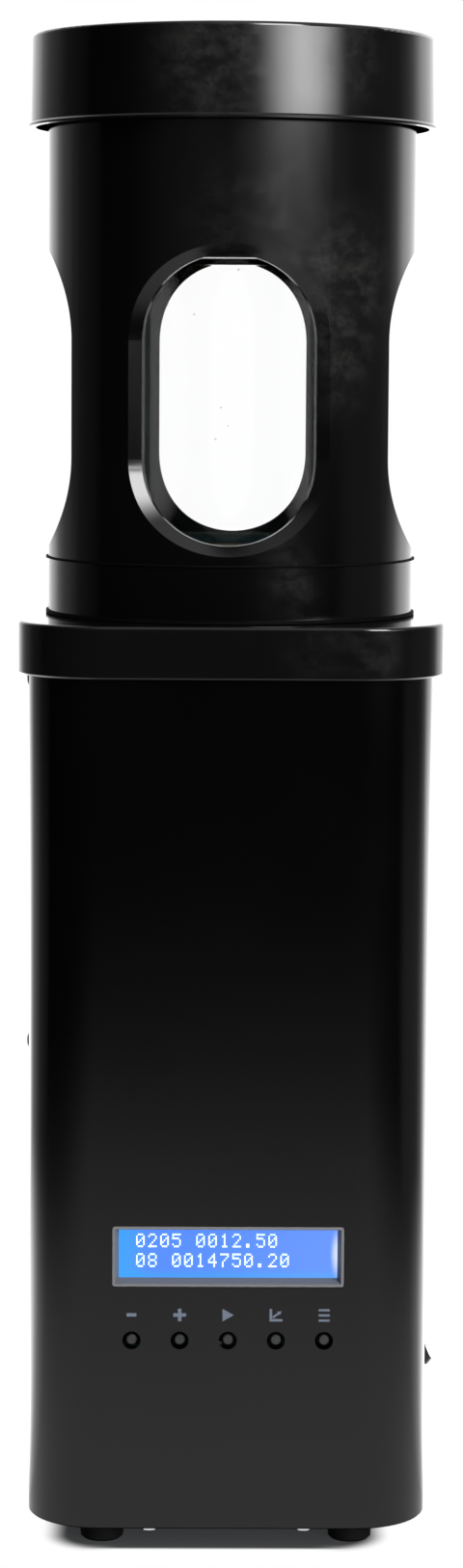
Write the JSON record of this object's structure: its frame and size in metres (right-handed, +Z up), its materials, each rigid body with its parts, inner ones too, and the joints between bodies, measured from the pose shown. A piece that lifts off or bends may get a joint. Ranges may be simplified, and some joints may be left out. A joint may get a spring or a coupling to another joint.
{
  "type": "home coffee roaster",
  "caption": "Countertop fluid-bed coffee roaster: square black body with display, buttons and side switch, windowed round chaff collector with glass chimney, and lift-off lid.",
  "frame": {"origin": "centre of the square formed by the four feet, on the surface it stands on, under the axis of the round upper parts", "axes": "+Z up, -Y out of the front face that carries the display and the buttons, +X to the side that carries the power switch"},
  "size_m": [0.127, 0.1252, 0.4501],
  "materials": {
    "black_powder_coat": "satin",
    "black_plastic": "semi-gloss moulded",
    "zinc_steel": "zinc plated",
    "stainless_steel": "spun",
    "black_screw": "black oxide",
    "bright_screw": "plated",
    "black_rubber": "matt",
    "silicone": "matt",
    "clear_glass": "polished",
    "mica": "matt",
    "resistance_wire": "oxidised",
    "thermostat": "matt",
    "blower_plastic": "moulded",
    "motor_steel": "drawn",
    "core_iron": "laminated",
    "display_glass": "backlit blue",
    "circuit_board": "solder mask",
    "power_parts": "moulded",
    "sink_aluminium": "extruded",
    "button_grey": "moulded",
    "rocker_black": "moulded",
    "pin_brass": "nickel plated"
  },
  "bodies": {
    "base": {"body_shell": "black_powder_coat", "base_plate": "black_powder_coat", "rubber_feet": "black_rubber", "foot_screws": "zinc_steel", "base_screws": "bright_screw", "side_screws": "black_screw", "top_collar": "black_plastic", "upper_plate": "zinc_steel", "collar_screws": "zinc_steel", "mid_plate": "zinc_steel", "socket_ring": "stainless_steel", "heater_tube": "stainless_steel", "heater_liner": "mica", "heater_former": "mica", "heater_coil": "resistance_wire", "temperature_probe": "stainless_steel", "thermal_cutout": "thermostat", "blower_upper": "blower_plastic", "blower_lower": "blower_plastic", "motor_bearings": "motor_steel", "motor_can": "motor_steel", "motor_mount": "zinc_steel", "display_bezel": "black_plastic", "display_panel": "display_glass", "display_frame": "black_screw", "display_board": "circuit_board", "control_board": "circuit_board", "board_studs": "zinc_steel", "board_nuts": "zinc_steel", "button_switches": "power_parts", "power_board": "circuit_board", "board_parts": "power_parts", "heatsink": "sink_aluminium", "mains_inlet": "black_plastic", "inlet_pins": "pin_brass", "rocker_housing": "black_plastic"},
    "roast_chamber": {"chamber_seal": "silicone", "chamber_ring": "black_plastic", "chamber_cup": "stainless_steel", "air_plate": "stainless_steel"},
    "chaff_collector": {"collector_body": "black_plastic", "collector_seal": "silicone", "glass_seal": "silicone", "glass_chimney": "clear_glass", "chaff_tray": "black_plastic", "chaff_screen": "stainless_steel"},
    "lid": {"lid": "black_plastic"},
    "blower_rotor": {"impeller": "blower_plastic", "motor_shaft": "zinc_steel", "rotor_core": "core_iron"},
    "power_rocker": {"power_rocker": "rocker_black"},
    "button_minus": {"button_minus": "button_grey"},
    "button_plus": {"button_plus": "button_grey"},
    "button_start": {"button_start": "button_grey"},
    "button_graph": {"button_graph": "button_grey"},
    "button_menu": {"button_menu": "button_grey"}
  },
  "joints": [
    {"name": "chamber_lift", "type": "slide", "parent": "base", "child": "roast_chamber", "axis": [0, 0, 1], "range_m": [0, 0.08]},
    {"name": "collector_lift", "type": "slide", "parent": "roast_chamber", "child": "chaff_collector", "axis": [0, 0, 1], "range_m": [0, 0.03]},
    {"name": "lid_lift", "type": "slide", "parent": "chaff_collector", "child": "lid", "axis": [0, 0, 1], "range_m": [0, 0.04]},
    {"name": "blower_spin", "type": "hinge", "parent": "base", "child": "blower_rotor", "pos_m": [0, 0, 0.1], "axis": [0, 0, 1], "continuous": true},
    {"name": "rocker_tilt", "type": "hinge", "parent": "base", "child": "power_rocker", "pos_m": [0.0575, 0, 0.052], "axis": [0, 1, 0], "range_deg": [0, 24]},
    {"name": "button_minus_press", "type": "slide", "parent": "base", "child": "button_minus", "axis": [0, 1, 0], "range_m": [0, 0.0005], "stiffness_N_per_m": 500},
    {"name": "button_plus_press", "type": "slide", "parent": "base", "child": "button_plus", "axis": [0, 1, 0], "range_m": [0, 0.0005], "stiffness_N_per_m": 500},
    {"name": "button_start_press", "type": "slide", "parent": "base", "child": "button_start", "axis": [0, 1, 0], "range_m": [0, 0.0005], "stiffness_N_per_m": 500},
    {"name": "button_graph_press", "type": "slide", "parent": "base", "child": "button_graph", "axis": [0, 1, 0], "range_m": [0, 0.0005], "stiffness_N_per_m": 500},
    {"name": "button_menu_press", "type": "slide", "parent": "base", "child": "button_menu", "axis": [0, 1, 0], "range_m": [0, 0.0005], "stiffness_N_per_m": 500}
  ]
}
